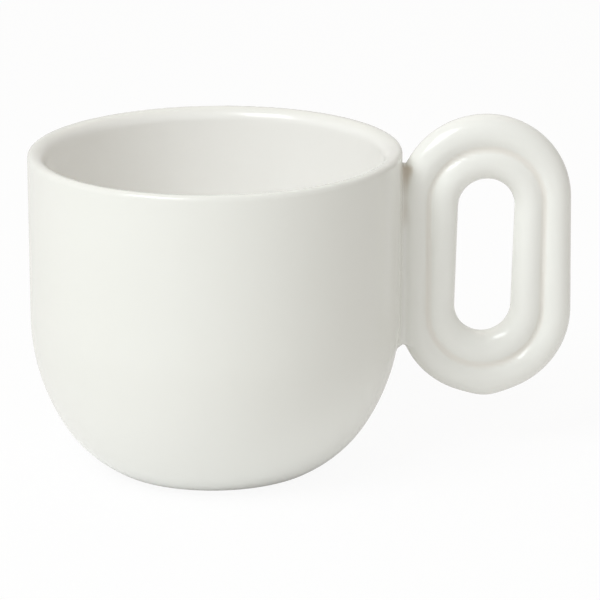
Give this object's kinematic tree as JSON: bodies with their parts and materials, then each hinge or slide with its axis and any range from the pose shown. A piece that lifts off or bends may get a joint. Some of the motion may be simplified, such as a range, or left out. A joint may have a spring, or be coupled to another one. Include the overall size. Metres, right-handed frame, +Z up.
{
  "type": "espresso cup",
  "caption": "Small straight-sided espresso cup in off-white glazed stoneware, with a rounded underside and an upright handle of nested stadium-shaped rings.",
  "frame": {"origin": "middle of the standing ring, in the plane of the table", "axes": "+Z up along the axis of the bowl, +X from that axis towards the handle, +Y completes a right-handed frame"},
  "size_m": [0.0878, 0.06, 0.0572],
  "materials": {
    "stoneware": "bare, matt, fine-grained",
    "slip": "matt, under the glaze",
    "glaze": "off-white, glossy"
  },
  "bodies": {
    "root": {"bowl": "stoneware", "bowl_glaze": "glaze", "handle_outer_ring": "stoneware", "handle_inner_ring": "stoneware", "ring_seam": "slip", "handle_joint": "slip", "handle_glaze": "glaze"}
  },
  "joints": []
}
